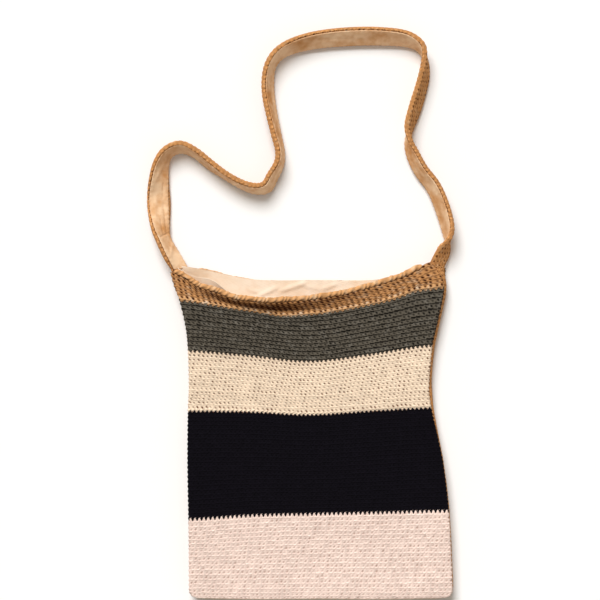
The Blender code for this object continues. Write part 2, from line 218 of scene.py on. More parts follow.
def front_points(across, row):
    """Middle of the front's cloth, without its raised corner: the strip and the rim follow this."""
    x, y = panel_plan(FRONT_LINES, across, row)
    for centre, shift_row, reach, reach_rows, shift in FRONT_SHIFTS:
        y += shift * hill((across - centre) / reach, (row[:, None] - shift_row) / reach_rows)
    return np.dstack((x, y, front_height(across, row)))


def front_cloth_points(across, row):
    """The front with its right corner drawn up beside the strap, past the end of the rim."""
    points = front_points(across, row)
    points[..., 1] += CORNER_RISE * hill((1 - across) / CORNER_REACH, row[:, None] / CORNER_ROWS)
    return points


def stitch_relief(across, row):
    """Height of the yarn from 0 to 1, where across counts stitches and row counts rows.

    Each stitch is a small peaked arch of yarn with a pit under its peak, and each row starts a
    little further left than the one above it.
    """
    row_index = np.floor(row)
    a = np.mod(across + STITCH_SLANT * row_index, 1) - 0.5
    b = row - row_index - 0.5
    pit = hill((a - 0.04) / 0.20, (b + 0.02) / 0.22)
    groove = hill((b + 0.12 - 0.7 * np.abs(a)) / 0.15, a / 0.36)
    lump = hill(a / 0.36, (b - 0.36) / 0.22)
    valley = hill((np.abs(b) - 0.5) / 0.16)
    return 0.75 + 0.25 * lump - 0.65 * np.maximum(np.maximum(pit, 0.6 * groove), 0.5 * valley)


def grid_loops(rows, columns):
    """The four corners of each cell of a grid, as the row and column of its points."""
    return [((r, c), (r, c + 1), (r + 1, c + 1), (r + 1, c)) for r in range(rows) for c in range(columns)]


def lie_in_mesh(name, points, faces, places, shares):
    """A smooth piece whose place is in its mesh.

    places holds the stitch and row of each corner of each face, and shares a value of each point
    under each name given.
    """
    mesh = bpy.data.meshes.new(name)
    mesh.from_pydata(((np.asarray(points) - PLAN_MIDDLE) * MM).tolist(), [], faces)
    mesh.uv_layers.new(name="stitches").data.foreach_set("uv", np.asarray(places, np.float32).ravel())
    for share_name, values in shares.items():
        attribute = mesh.attributes.new(share_name, "FLOAT", "POINT")
        attribute.data.foreach_set("value", np.asarray(values, np.float32))
    mesh.shade_smooth()
    piece = bpy.data.objects.new(name, mesh)
    bpy.context.collection.objects.link(piece)
    return piece


def cloth_skin(name, right_side, wrong_side, rows, columns, ring, right_counts, wrong_counts):
    """A cloth as one closed skin: a fine right side, and a wrong side on some of its rows and columns.

    The two share their points along the border. ring closes the rows into a loop. The counts hold
    the stitch and the row of each point of a side, with one row more where the rows are a loop.
    """
    height, width = right_side.shape[:2]
    spots = [(r, c) for r in range(height) for c in range(width)]
    wrong = {}
    for r in rows:
        for c in columns:
            if 0 < c < width - 1 and (ring or 0 < r < height - 1):
                wrong[r, c] = len(spots)
                spots.append((r, c))
    right_loops = grid_loops(height if ring else height - 1, width - 1)
    wrong_loops = []
    marks = list(rows) + ([height] if ring else [])
    for r, below in zip(marks, marks[1:]):
        for c, beside in zip(columns, columns[1:]):
            top = range(c, beside) if r == 0 and not ring else [c]
            right = range(r, below) if beside == width - 1 else [r]
            foot = range(beside, c, -1) if below == height - 1 and not ring else [beside]
            left = range(below, r, -1) if c == 0 else [below]
            loop = [(r, k) for k in top] + [(k, beside) for k in right]
            loop += [(below, k) for k in foot] + [(k, c) for k in left]
            wrong_loops.append(tuple(reversed(loop)))
    r, c = height // 2, width // 2
    looks_at = np.cross(right_side[r, c + 1] - right_side[r, c], right_side[r + 1, c] - right_side[r, c])
    if looks_at @ (right_side[r, c] - wrong_side[r, c]) < 0:
        right_loops = [loop[::-1] for loop in right_loops]
        wrong_loops = [loop[::-1] for loop in wrong_loops]
    faces = [[(r % height) * width + c for r, c in loop] for loop in right_loops]
    faces += [[wrong.get((r % height, c), (r % height) * width + c) for r, c in loop] for loop in wrong_loops]
    places = []
    for side, counts in ((right_loops, right_counts), (wrong_loops, wrong_counts)):
        corners = np.array([spot for loop in side for spot in loop])
        places.append(np.stack([count[corners[:, 0], corners[:, 1]] for count in counts], axis=1))
    points = right_side.reshape(-1, 3).tolist() + [wrong_side[spot] for spot in spots[height * width:]]
    return lie_in_mesh(name, points, faces, np.concatenate(places), {})


def facing(points):
    """The way that a grid of points looks, to the side where rows go down and columns go right."""
    down, along = np.gradient(points, axis=0), np.gradient(points, axis=1)
    way = np.cross(down, along)
    return way / np.linalg.norm(way, axis=2, keepdims=True)


def roundness(from_edge, thickness):
    """How full a cloth of this thickness is at a distance from its rounded edge, from 0 to 1."""
    return np.sqrt(1 - (1 - np.clip(from_edge / (thickness / 2), 0, 1)) ** 2)


def crochet_panel(name, points_of, steps_per_stitch, steps_across, lift):
    """Front or back of the bag, its right side looking up for a lift of 1 and down for -1.

    The mesh has so many steps to a stitch down the rows, and so many in all across them.
    """
    rows, row_counts, across_counts, depths = [], [], [], []
    worked = 0
    for first, last, row_number, stitches, depth in STRIPES:
        for step in range(row_number * steps_per_stitch):
            share = step / steps_per_stitch
            rows.append(first + (last - first) * share / row_number)
            row_counts.append(worked + share)
            across_counts.append(stitches)
            depths.append(depth)
        worked += row_number
    rows = np.array(rows + [LAST_ROW])
    row_counts = np.array(row_counts + [worked])
    across = np.linspace(0, 1, steps_across + 1)
    stitch = across * np.array(across_counts + across_counts[-1:])[:, None]
    row = np.repeat(row_counts[:, None], len(across), axis=1)
    height = stitch_relief(stitch, row)
    middle = points_of(across, rows)
    from_side = np.minimum(across, 1 - across) * PANEL_WIDTH
    at_side = hill(from_side / SCALLOP_REACH) * np.sign(across - 0.5)
    middle[..., 0] += SCALLOP * np.cos(math.tau * row_counts)[:, None] * at_side
    way = facing(middle) * lift
    from_end = np.minimum(rows, LAST_ROW - rows)[:, None] * ROW_HEIGHT
    full = roundness(np.minimum(from_side, from_end), CROCHET)[..., None]
    relief = (height - MEAN_RELIEF)[..., None] * np.array(depths + depths[-1:])[:, None, None]
    right_side = middle + way * (CROCHET / 2 + relief) * full
    wrong_side = middle - way * CROCHET / 2
    sparse_rows = list(range(0, len(rows) - 1, steps_per_stitch)) + [len(rows) - 1]
    sparse_columns = list(range(0, steps_across, steps_per_stitch)) + [steps_across]
    return cloth_skin(name, right_side, wrong_side, sparse_rows, sparse_columns, False,
                      (stitch, row), (stitch, row))


def dye(red, green, blue):
    """A colour given as it looks on paper, from 0 to 255, as the light that it sends back."""
    shares = [value / 255 for value in (red, green, blue)]
    return (*(s / 12.92 if s <= 0.04045 else ((s + 0.055) / 1.055) ** 2.4 for s in shares), 1.0)


def add_node(tree, kind, inputs=None, **settings):
    """A shader node with its settings, and each input given as a value or as a socket to join."""
    made = tree.nodes.new("ShaderNode" + kind)
    for name, value in settings.items():
        setattr(made, name, value)
    for socket, value in (inputs or {}).items():
        if isinstance(value, bpy.types.NodeSocket):
            tree.links.new(value, made.inputs[socket])
        else:
            made.inputs[socket].default_value = value
    return made


def math_node(tree, operation, *values):
    """The result of a sum on values and sockets."""
    return add_node(tree, "Math", dict(enumerate(values)), operation=operation).outputs[0]


def bell(tree, *terms):
    """A soft spot: 1 where each value is at its centre, falling off with its reach.

    Each term is a value, its centre and its reach.
    """
    calc = partial(math_node, tree)
    total = None
    for value, centre, reach in terms:
        off = calc("DIVIDE", calc("SUBTRACT", value, centre), reach)
        square = calc("MULTIPLY", off, off)
        total = square if total is None else calc("ADD", total, square)
    return calc("EXPONENT", calc("MULTIPLY", total, -1.0))


def noise(tree, place, scale, detail):
    """A soft random value at a place."""
    return add_node(tree, "TexNoise", {"Vector": place, "Scale": scale, "Detail": detail}).outputs["Fac"]


def group_of(name, inputs, outputs):
    """An empty node group, what it is given and what it gives, both named for each kind of socket."""
    tree = bpy.data.node_groups.new(name, "ShaderNodeTree")
    for direction, kinds in (("INPUT", inputs), ("OUTPUT", outputs)):
        for kind, names in kinds.items():
            for socket in names:
                tree.interface.new_socket(name=socket, in_out=direction, socket_type="NodeSocket" + kind)
    return tree, tree.nodes.new("NodeGroupInput").outputs, tree.nodes.new("NodeGroupOutput").inputs


# Single crochet, for every crocheted piece: each stitch is a peaked arch with a pit under its peak,
# and no two pits are quite as deep. Stitches counts stitches along and rows down. Lean turns the
# pits to the right for 1 and to the left for -1, Breadth widens them, Evenness makes them alike,
# and Valley sets the painted shade in the stepped line between two rows. Pit gives where painted
# shade falls in the pits, their grooves and that line, and Lump where a painted highlight lies on
# the arches' tops. Both also shape the bump.
crochet, given, result = group_of(
    "single_crochet",
    {"Vector": ("Stitches",), "Float": ("Lean", "Breadth", "Evenness", "Valley")},
    {"Float": ("Pit", "Lump", "Tone")},
)
calc = partial(math_node, crochet)
lean = given["Lean"]
along, down, _ = add_node(crochet, "SeparateXYZ", {0: given["Stitches"]}).outputs
row = calc("FLOOR", down)
slid = calc("ADD", along, calc("MULTIPLY", row, STITCH_SLANT))
cell = add_node(crochet, "CombineXYZ", {0: calc("FLOOR", slid), 1: row})
chances = add_node(crochet, "TexWhiteNoise", {"Vector": cell.outputs[0]})
chance_a, chance_b, chance_pit = add_node(crochet, "SeparateColor", {0: chances.outputs["Color"]}).outputs
a = calc("ADD", calc("FRACT", slid), calc("MULTIPLY_ADD", chance_a, 0.24, -0.62))
b = calc("ADD", calc("FRACT", down), calc("MULTIPLY_ADD", chance_b, 0.18, -0.59))
leaning = calc("SUBTRACT", a, calc("MULTIPLY", calc("MULTIPLY", b, lean), 0.55))
pit_reach = calc("MULTIPLY", given["Breadth"], 0.15)
pit = bell(crochet, (leaning, 0.03, pit_reach), (b, -0.02, calc("MULTIPLY", pit_reach, 1.25)))
arch = calc("SUBTRACT", b, calc("MULTIPLY_ADD", calc("ABSOLUTE", a), 0.75, -0.14))
groove = bell(crochet, (arch, 0.0, 0.12), (a, 0.0, 0.34))
favoured = add_node(crochet, "Math", {0: calc("MULTIPLY", a, lean), 1: 1.7, 2: 0.55},
                    operation="MULTIPLY_ADD", use_clamp=True).outputs[0]
depth = calc("POWER", chance_pit, 1.4)
depth = add_node(crochet, "Mix", {0: given["Evenness"], 2: depth, 3: 1.0}).outputs[0]
pit = calc("MULTIPLY", pit, calc("MULTIPLY_ADD", depth, 0.75, 0.25))
groove = calc("MULTIPLY", calc("MULTIPLY", groove, favoured), calc("MULTIPLY_ADD", depth, 0.35, 0.45))
lump = bell(crochet, (a, 0.0, 0.34), (b, 0.36, 0.20))
from_row = calc("ABSOLUTE", calc("SUBTRACT", b, calc("MULTIPLY", calc("MULTIPLY", a, lean), 0.14)))
# The line between two rows gets painted shade, darker in some rows than in others.
painted_shade_strength = calc("MULTIPLY", given["Valley"], calc("MULTIPLY_ADD", chance_b, 0.3, 0.75))
valley = calc("MULTIPLY", bell(crochet, (from_row, 0.5, 0.19)), painted_shade_strength)
crochet.links.new(calc("MAXIMUM", calc("MAXIMUM", pit, groove), valley), result["Pit"])
crochet.links.new(lump, result["Lump"])
crochet.links.new(chances.outputs["Value"], result["Tone"])

# Plied cotton yarn, for the same pieces: its fibres, its uneven dye and pale flecks where it is
# marled, with a painted highlight on the stitches' tops and painted shade in their pits.
yarn, given, result = group_of(
    "cotton_yarn",
    {"Vector": ("Place", "Stitches"), "Color": ("Colour", "Painted pit shade", "Fleck colour"),
     "Float": ("Fleck", "Pit", "Lump", "Tone")},
    {"Color": ("Colour",), "Float": ("Height",)},
)
calc = partial(math_node, yarn)
clouds = noise(yarn, given["Place"], 38.0, 3.0)
fibres = noise(yarn, given["Place"], 1100.0, 2.0)
plies = add_node(yarn, "TexWave", {"Vector": given["Stitches"], "Scale": 0.9, "Distortion": 2.0,
                                   "Detail": 1.0, "Detail Scale": 1.5}, bands_direction="DIAGONAL")
specks = noise(yarn, given["Stitches"], 0.7, 2.5)
marled = add_node(yarn, "MapRange", {"Value": specks, "From Min": 0.52, "From Max": 0.64}).outputs[0]
flecked = add_node(yarn, "Mix", {
    0: calc("MULTIPLY", marled, given["Fleck"]),
    6: given["Colour"], 7: given["Fleck colour"]}, data_type="RGBA")
tone_and_painted_highlight = calc("MULTIPLY_ADD", clouds, 0.18, 0.64)
# Lump adds a painted highlight to the stitches' tops.
for source, share in ((fibres, 0.14), (given["Tone"], 0.16), (given["Lump"], 0.34)):
    tone_and_painted_highlight = calc("MULTIPLY_ADD", source, share, tone_and_painted_highlight)
toned = add_node(yarn, "VectorMath", {0: flecked.outputs[2], "Scale": tone_and_painted_highlight}, operation="SCALE")
# Pit mixes in the painted shade of the pits, grooves and row lines.
colour_with_painted_light = add_node(yarn, "Mix", {0: given["Pit"], 6: toned.outputs[0], 7: given["Painted pit shade"]},
                data_type="RGBA", clamp_factor=True)
yarn_height = given["Lump"]
for source, share in ((given["Pit"], -1.0), (plies.outputs["Fac"], 0.20), (fibres, 0.25)):
    yarn_height = calc("MULTIPLY_ADD", source, share, yarn_height)
yarn.links.new(colour_with_painted_light.outputs[2], result["Colour"])
yarn.links.new(yarn_height, result["Height"])


def cloth_material(name):
    """A new material, its node tree, and the stitch and row of a place in the piece's own map."""
    material = bpy.data.materials.new(name)
    material.use_nodes = True
    stitches = add_node(material.node_tree, "UVMap", uv_map="stitches").outputs[0]
    return material, material.node_tree, stitches


def finish_cloth(tree, kind, look, strength, distance, specular):
    """Join a group of yarn or cloth with this look to the material's shader, dull as cotton is.

    Its bump has this strength and distance, and its surface this specular level.
    """
    place = add_node(tree, "TexCoord").outputs["Object"]
    made = add_node(tree, "Group", {"Place": place, **look}, node_tree=kind)
    bump = add_node(tree, "Bump", {
        "Strength": strength, "Distance": distance, "Height": made.outputs["Height"]})
    finish = tree.nodes["Principled BSDF"]
    tree.links.new(made.outputs["Colour"], finish.inputs["Base Color"])
    tree.links.new(bump.outputs[0], finish.inputs["Normal"])
    finish.inputs["Roughness"].default_value = 0.95
    finish.inputs["Specular IOR Level"].default_value = specular


def finish_yarn(tree, look):
    """Join cotton_yarn with this look to the material's shader."""
    finish_cloth(tree, yarn, look, strength=0.9, distance=0.0009, specular=0.08)


# The front and back change colour at a row, where each new colour's stitch tips reach up between
# the pits of the last. The last tan row is given a paler, more flecked colour, a painted highlight
# for the bright loops that it shows. Columns: first row, colour, colour of the painted shade in the
# pits, fleck colour, share of flecks, strength of the pits' painted shade and relief, lean and
# breadth of the pits, how alike they are, and how dark the painted shade in the line between two
# rows is.
TAN = (dye(212, 153, 98), dye(66, 28, 10), dye(226, 202, 174))
STRIPE_YARNS = (
    (0, *TAN, 0.35, 1.5, 0.3, 1.70, 0.35, 0.35),
    (5, dye(230, 176, 122), TAN[1], dye(242, 224, 200), 0.6, 1.3, 0.3, 1.55, 0.7, 0.35),
    (6, dye(100, 93, 82), dye(9, 7, 5), dye(132, 126, 116), 0.5, 1.2, 1.3, 1.5, 0.45, 0.85),
    (17, dye(250, 224, 196), dye(60, 30, 12), dye(252, 230, 204), 0.2, 1.2, 0.9, 1.7, 0.9, 0.0),
    (18, dye(253, 229, 202), dye(108, 52, 16), dye(254, 236, 212), 0.2, 1.4, 0.9, 1.12, 0.2, 0.08),
    (32, dye(14, 11, 18), dye(6, 5, 8), dye(20, 17, 25), 0.3, 0.8, 0.5, 1.3, 0.6, 0.4),
    (56, dye(247, 222, 210), dye(158, 112, 92), dye(252, 236, 224), 0.2, 0.75, -0.8, 1.3, 0.2, 0.10),
)
STITCH_ROWS = sum(stripe[2] for stripe in STRIPES)

# Painted shade under the mouth's lip, where the rim's shadow falls on the tan rows: the pits there
# are darkened. Columns: stitch, reach along, row, reach down, darkness.
LIP_SHADE_SPOTS = (
    (17.5, 8.0, 2.5, 1.6, 0.62),
    (8.0, 4.0, 1.4, 1.0, 0.30),
    (30.0, 5.0, 0.9, 0.8, 0.40),
)

panel_yarn, tree, stitches = cloth_material("striped_yarn")
calc = partial(math_node, tree)
along, down, _ = add_node(tree, "SeparateXYZ", {0: stitches}).outputs
slide = calc("MULTIPLY", calc("FLOOR", down), STITCH_SLANT)
within = calc("FRACT", calc("ADD", along, slide))
from_pit = calc("ABSOLUTE", calc("SUBTRACT", within, 0.5))
tip = add_node(tree, "MapRange", {
    "Value": from_pit, "From Min": 0.06, "From Max": 0.44, "To Min": -0.38, "To Max": 0.34})
reached = calc("DIVIDE", calc("ADD", down, tip.outputs[0]), STITCH_ROWS)

# A ramp down the rows gives each column of the yarns. The last six columns are numbers, which a ramp
# holds as greys: their range of RAMP_RANGE about 0 is taken to 0 to 1 and back.
COLOUR_COLUMNS = 3
RAMP_RANGE = 4.0
looks = []
for column in range(1, len(STRIPE_YARNS[0])):
    ramp = add_node(tree, "ValToRGB", {"Fac": reached})
    ramp.color_ramp.interpolation = "CONSTANT"
    stops = ramp.color_ramp.elements
    stops.remove(stops[1])
    for index, stripe_yarn in enumerate(STRIPE_YARNS):
        start = stripe_yarn[0] / STITCH_ROWS
        stop = stops[0] if index == 0 else stops.new(start)
        stop.position = start
        value = stripe_yarn[column]
        stop.color = value if column <= COLOUR_COLUMNS else (value / RAMP_RANGE + 0.5,) * 3 + (1.0,)
    look = ramp.outputs["Color"]
    if column > COLOUR_COLUMNS:
        grey = add_node(tree, "SeparateColor", {0: look}).outputs[0]
        look = calc("MULTIPLY_ADD", grey, RAMP_RANGE, -RAMP_RANGE / 2)
    looks.append(look)
colour, pit_shade_colour, fleck_colour, fleck, pit_strength, lean, breadth, evenness, valley = looks

worked = add_node(tree, "Group", {
    "Stitches": stitches, "Lean": lean, "Breadth": breadth, "Evenness": evenness, "Valley": valley},
    node_tree=crochet)
pits_and_lip_shade = calc("MULTIPLY", worked.outputs["Pit"], pit_strength)
# The lip's painted shade is added to the pits' painted shade.
for centre, reach, centre_row, reach_down, painted_shade_strength in LIP_SHADE_SPOTS:
    lip_shade = bell(tree, (along, centre, reach), (down, centre_row, reach_down))
    pits_and_lip_shade = calc("MULTIPLY_ADD", lip_shade, painted_shade_strength, pits_and_lip_shade)
finish_yarn(tree, {
    "Stitches": stitches, "Colour": colour, "Painted pit shade": pit_shade_colour, "Fleck colour": fleck_colour,
    "Fleck": fleck, "Lump": worked.outputs["Lump"], "Tone": worked.outputs["Tone"], "Pit": pits_and_lip_shade})

front = crochet_panel("crocheted_front", front_cloth_points, steps_per_stitch=4, steps_across=232, lift=1)
front.data.materials.append(panel_yarn)
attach(front, "root")
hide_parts("front_panel")


# Back of the bag: the same crochet, its right side down on the table. Its mouth edge lies higher
# than the front's, so that the lining shows between the two.
BACK_LINES = np.concatenate((np.array((
    (0.0, -119.0, 153.5, 44.5, 30.5, 29.0, 30.5, 46.5),
    (3.0, -120.5, 153.0, 27.5, 18.0, 15.5, 19.0, 33.5),
    (6.0, -122.0, 151.5, 9.0, 4.0, 1.0, 7.5, 19.5),
)), FRONT_LINES[3:]))
LOWEST_YARN = 0.15


def back_points(across, row):
    """Middle of the back's cloth, whose lowest yarn all but touches the table."""
    x, y = panel_plan(BACK_LINES, across, row)
    return np.dstack((x, y, np.full(x.shape, CROCHET / 2 + LOWEST_YARN)))


back = crochet_panel("crocheted_back", back_points, steps_per_stitch=3, steps_across=168, lift=-1)
back.data.materials.append(panel_yarn)
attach(back, "root")
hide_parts("back_panel")


# Side strip and strap: one long strip of tan crochet, five rows wide, that runs down one side of
# the bag, under it, up the other side and over the shoulder. It stands on its edge along the
# table, except where the strap turns flat, and its right side looks out of the loop.

# Gaps to the table and to the panels, the strap's width, how far the side strip stands in from the
# panels' edges and bows out, more at the upper right, and how steeply a bowed strip leaves its edge.
FLOOR_GAP = 0.4
SEAM_GAP = 0.7
STRAP_WIDTH = 24.5
GUSSET_INSET = 1.8
GUSSET_BOW = 1.2
LEFT_SIDE = -105.0
RIGHT_BOW = 1.8
RIGHT_BOW_END = -115.0
RIGHT_BOW_BLEND = 8.0
EDGE_SLOPE = 3.0

# Rows of a panel and steps across its bottom at which the strip's edges are taken.
SIDE_ROWS = (-0.8, 0.4, 1.6, 3, 5, 7, 9.5, 12, 16, 20, 24, 29, 34, 39, 44, 49, 54, 59, 63,
             65.2, 66.2, 67.1, 67.7, LAST_ROW)
BOTTOM_STEPS = 12

# The strip's stitches, its mesh steps to a stitch, and the waves of its edges. Its edges roll, more
# where it stands upright: rise, place and reach from the edge in mm, and how much the rise swells.
BAND_STITCH = 4.7
BAND_STEPS = 4
BAND_ROWS = 5
BAND_PIT_DEPTH = 1.0
BAND_SCALLOP = 0.15
EDGE_ROLL = 0.5
UPRIGHT_ROLL = 1.0
ROLL_PLACE = 1.6
ROLL_REACH = 1.7
ROLL_SWELL = 0.06

# Middle line of the strap from the left corner of the mouth round to the right one.
# Columns: x, y, height of the lower edge, turn about the strap's length, outward bow.
# At a turn of 0 degrees the lining faces up, at 90 it faces the inside of the loop.
STRAP_ROUTE = np.array((
    (-134.5, 58.5, 1.6, 52.0, 0.6),
    (-143.3, 75.5, 0.8, 58.0, 0.8),
    (-147.0, 90.0, 0.5, 40.0, 0.6),
    (-148.5, 107.0, 0.5, 12.0, 0.3),
    (-149.0, 122.0, 0.5, 8.0, 0.3),
    (-148.6, 136.5, 0.5, 32.0, 0.8),
    (-146.2, 154.0, 0.5, 52.0, 1.2),
    (-139.8, 167.0, 0.5, 66.0, 1.5),
    (-126.0, 173.2, 0.5, 68.0, 1.5),
    (-110.3, 167.4, 0.5, 76.0, 1.0),
    (-94.5, 155.0, 0.5, 77.0, 0.8),
    (-77.7, 143.3, 0.5, 82.0, 0.8),
    (-59.9, 133.4, 0.5, 80.0, 1.0),
    (-45.5, 129.3, 0.5, 74.0, 1.2),
    (-35.0, 131.5, 0.5, 68.0, 1.2),
    (-29.4, 141.5, 0.5, 69.0, 1.0),
    (-22.2, 155.5, 0.5, 76.0, 0.8),
    (-21.0, 168.5, 0.5, 78.0, 0.8),
    (-24.7, 185.0, 0.5, 75.0, 0.8),
    (-29.4, 206.0, 0.5, 71.0, 1.0),
    (-33.1, 227.0, 0.5, 67.0, 1.2),
    (-33.6, 245.7, 0.5, 68.0, 1.2),
    (-29.9, 261.5, 0.5, 71.0, 1.5),
    (-20.0, 273.0, 0.5, 66.0, 1.5),
    (-3.2, 281.0, 0.5, 58.0, 1.2),
    (21.0, 286.5, 0.5, 50.0, 1.0),
    (52.5, 289.5, 0.5, 46.0, 0.8),
    (84.0, 289.8, 0.5, 48.0, 0.8),
    (111.5, 287.0, 0.5, 58.0, 1.2),
    (126.5, 278.5, 0.5, 76.0, 1.6),
    (131.0, 265.0, 0.6, 98.0, 1.6),
    (130.2, 248.0, 0.8, 112.0, 1.2),
    (126.0, 231.0, 0.9, 116.0, 1.0),
    (120.2, 212.0, 0.9, 117.0, 1.0),
    (114.5, 194.5, 0.7, 107.0, 2.0),
    (113.4, 179.5, 0.5, 84.0, 3.0),
    (118.1, 166.0, 0.5, 67.0, 2.0),
    (127.0, 149.0, 0.5, 62.0, 1.2),
    (139.6, 132.5, 0.5, 60.0, 1.0),
    (147.8, 114.5, 0.5, 59.0, 1.0),
    (153.6, 96.0, 0.5, 62.0, 1.2),
    (155.4, 83.5, 0.8, 72.0, 2.2),
    (154.2, 73.5, 1.4, 96.0, 2.4),
    (151.0, 64.5, 1.8, 123.0, 1.4),
))

# Places taken on the curve from one row of the route to the next, and rounds of easing of the loop.
FINE = 8
EASING_ROUNDS = 10


def side_of(line):
    """The level way to the right of a line of points, each taken from its two neighbours."""
    along = np.concatenate((line[1:], line[-1:])) - np.concatenate((line[:1], line[:-1]))
    along[:, 2] = 0
    along /= np.linalg.norm(along, axis=1, keepdims=True)
    return np.stack((along[:, 1], -along[:, 0], np.zeros(len(line))), axis=1)


def strap_edges():
    """Outer edge, inner edge, bow and edge roll of the strap, clockwise from the left corner."""
    x, y, foot, turn, bow = STRAP_ROUTE.T
    angle = np.radians(turn)
    height = FLOOR_GAP + foot + STRAP_WIDTH / 2 * np.sin(angle) + CROCHET / 2 * np.abs(np.cos(angle))
    centre = np.stack((x, y, height), axis=1)
    across = side_of(centre) * np.cos(angle)[:, None] - np.outer(np.sin(angle), (0, 0, 1))
    roll = EDGE_ROLL + UPRIGHT_ROLL * np.sin(angle) ** 6
    return np.column_stack((centre - across * STRAP_WIDTH / 2, centre + across * STRAP_WIDTH / 2, bow, roll))


def panel_edge(points_of):
    """The edge of a panel from the right corner of the mouth, round the bottom, to the left."""
    sides = points_of(np.array((0.0, 1.0)), np.array(SIDE_ROWS))
    bottom = points_of(np.arange(BOTTOM_STEPS - 1, 0, -1) / BOTTOM_STEPS, np.array((LAST_ROW,)))[0]
    return np.concatenate((sides[:, 1], bottom, sides[::-1, 0]))


def gusset_edges():
    """Front edge, back edge, bow and edge roll of the side strip, clockwise from the right corner."""
    front_edge = panel_edge(front_points)
    back_edge = panel_edge(back_points)
    inward = side_of(front_edge)
    top = front_edge + inward * GUSSET_INSET
    foot = back_edge + side_of(back_edge) * GUSSET_INSET
    slack = RIGHT_BOW / (1 + np.exp((RIGHT_BOW_END - top[:, 1]) / RIGHT_BOW_BLEND))
    bow = np.where(top[:, 0] > LEFT_SIDE, GUSSET_BOW, 0) + np.where(top[:, 0] > 0, slack, 0)
    lean = np.abs(((foot - top) * inward)[:, :2].sum(axis=1))
    top[:, 2] = front_edge[:, 2] - CROCHET / 2 - SEAM_GAP
    foot[:, 2] = CROCHET + SEAM_GAP
    outward = bow * EDGE_SLOPE + lean
    reach = CROCHET / 2 * outward / np.hypot(outward, top[:, 2] - foot[:, 2])
    top[:, 2] -= reach
    foot[:, 2] += reach
    return np.column_stack((top, foot, bow, np.zeros(len(bow))))


def even_steps(rows, step, ring):
    """Rows of edges and bows at even steps along their middle line. A ring has its kinks eased."""
    if ring:
        rows = np.concatenate((rows, rows[:1]))
    middle = (rows[:, 0:3] + rows[:, 3:6]) / 2
    gone = np.concatenate(([0], np.cumsum(np.linalg.norm(np.diff(middle, axis=0), axis=1))))
    number = round(gone[-1] / step)
    places = np.linspace(0, gone[-1], number + 1)
    even = np.stack([np.interp(places, gone, column) for column in rows.T], axis=1)
    if ring:
        even = even[:-1]
        for _ in range(EASING_ROUNDS):
            even = (np.roll(even, 1, axis=0) + 2 * even + np.roll(even, -1, axis=0)) / 4
    return even


def ribbon(rows, places, ring):
    """Points of a bowed strip across its rows of edges, the way its lining looks, and its widths."""
    outer, inner, bow = rows[:, 0:3], rows[:, 3:6], rows[:, 6]
    middle = (outer + inner) / 2
    if ring:
        along = np.roll(middle, -1, axis=0) - np.roll(middle, 1, axis=0)
    else:
        along = np.gradient(middle, axis=0)
    across = inner - outer
    way = np.cross(across, along)
    way /= np.linalg.norm(way, axis=1, keepdims=True)
    arch = 4 * places * (1 - places)
    points = outer[:, None] + across[:, None] * places[:, None]
    points -= way[:, None] * (bow[:, None] * arch)[..., None]
    return points, way[:, None], across


# The loop at FINE places to each stretch: the strap on a curve through its points, and the side
# strip straight from point to point.
strap = strap_edges()
gusset = gusset_edges()
loop = np.concatenate((gusset[-1:], strap, gusset, strap[:2]))
strap_places = 1 + np.arange(len(strap) * FINE) / FINE
end_places = len(strap) + len(gusset) + np.arange(FINE) / FINE
gusset_places = 1 + len(strap) + np.arange((len(gusset) - 1) * FINE) / FINE
gusset_rows = np.stack([np.interp(gusset_places, np.arange(len(loop)), column) for column in loop.T], axis=1)
dense = np.concatenate((curve_through(loop, strap_places), gusset_rows, curve_through(loop, end_places)))
band_rows = even_steps(dense, BAND_STITCH / BAND_STEPS, True)
band_rows = band_rows[:len(band_rows) // BAND_STEPS * BAND_STEPS]

# Lines of points across the strip: close together near its edges, then even, from EVEN_FROM on.
NEAR_EDGE = np.array((0, 0.2, 0.5, 1.0, 1.7, 2.5, 3.4))
EVEN_FROM = 4.4
EVEN_LINES = 14
band_places = np.concatenate((
    NEAR_EDGE, np.linspace(EVEN_FROM, STRAP_WIDTH - EVEN_FROM, EVEN_LINES), STRAP_WIDTH - NEAR_EDGE[::-1]))
band_places /= STRAP_WIDTH
middle, lining_way, across_band = ribbon(band_rows, band_places, True)
stitch = np.repeat(np.arange(len(band_rows) + 1)[:, None] / BAND_STEPS, len(band_places), axis=1)
row = np.repeat(band_places[None, :] * BAND_ROWS, len(band_rows) + 1, axis=0)

# The last edge still belongs to the last row, so the rows are counted a touch short of it.
relief = (stitch_relief(stitch[:-1], row[:-1] * 0.999) - MEAN_RELIEF)[..., None] * BAND_PIT_DEPTH
widths = np.linalg.norm(across_band, axis=1)
from_edge = np.minimum(band_places, 1 - band_places)[None, :] * widths[:, None]
rolled = band_rows[:, 7:8] * hill((from_edge - ROLL_PLACE) / ROLL_REACH)
full = roundness(from_edge, CROCHET + 2 * band_rows[:, 7:8])[..., None]
wave = np.cos(math.tau * stitch[:-1] + 0.8 * np.sin(stitch[:-1] / 3.1))[..., None]
to_edge = np.sign(band_places - 0.5)[None, :, None] * (1 - full) * wave
middle = middle + (across_band / widths[:, None])[:, None] * to_edge * BAND_SCALLOP
half = CROCHET / 2 + rolled[..., None] * (1 + ROLL_SWELL * wave)
lines = range(len(band_places))
wrong_lines = [*lines[:len(NEAR_EDGE)], lines[-1] // 2, *lines[-len(NEAR_EDGE):]]
band = cloth_skin(
    "crocheted_side_strip_and_strap",
    middle - lining_way * (half + relief) * full, middle + lining_way * half * full,
    range(len(band_rows)), wrong_lines, True, (stitch, row), (stitch, 2 * BAND_ROWS - row),
)
